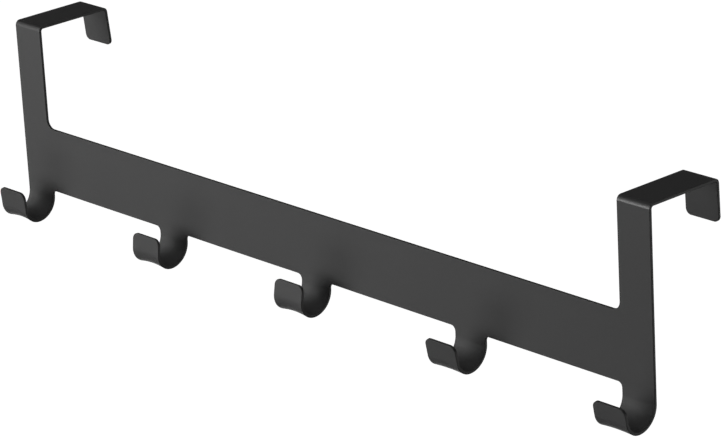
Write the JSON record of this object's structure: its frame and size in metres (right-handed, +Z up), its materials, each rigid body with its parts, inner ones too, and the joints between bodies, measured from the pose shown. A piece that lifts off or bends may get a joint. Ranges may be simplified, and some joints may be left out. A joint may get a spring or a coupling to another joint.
{
  "type": "over door hook",
  "caption": "Hook rack folded from one steel sheet: two straps with bridges and flaps hang it over a door, and bent hooks under its bar hold coats, bags or towels.",
  "frame": {"origin": "centre of the bar's back face, which lies flat against the front of the door", "axes": "+X along the bar, +Y through the door from its front to its back, +Z up"},
  "size_m": [0.45, 0.0673, 0.1065],
  "materials": {
    "powder_coated_steel": "satin black powder coat"
  },
  "bodies": {
    "root": {"hook_rack": "powder_coated_steel"}
  },
  "joints": []
}
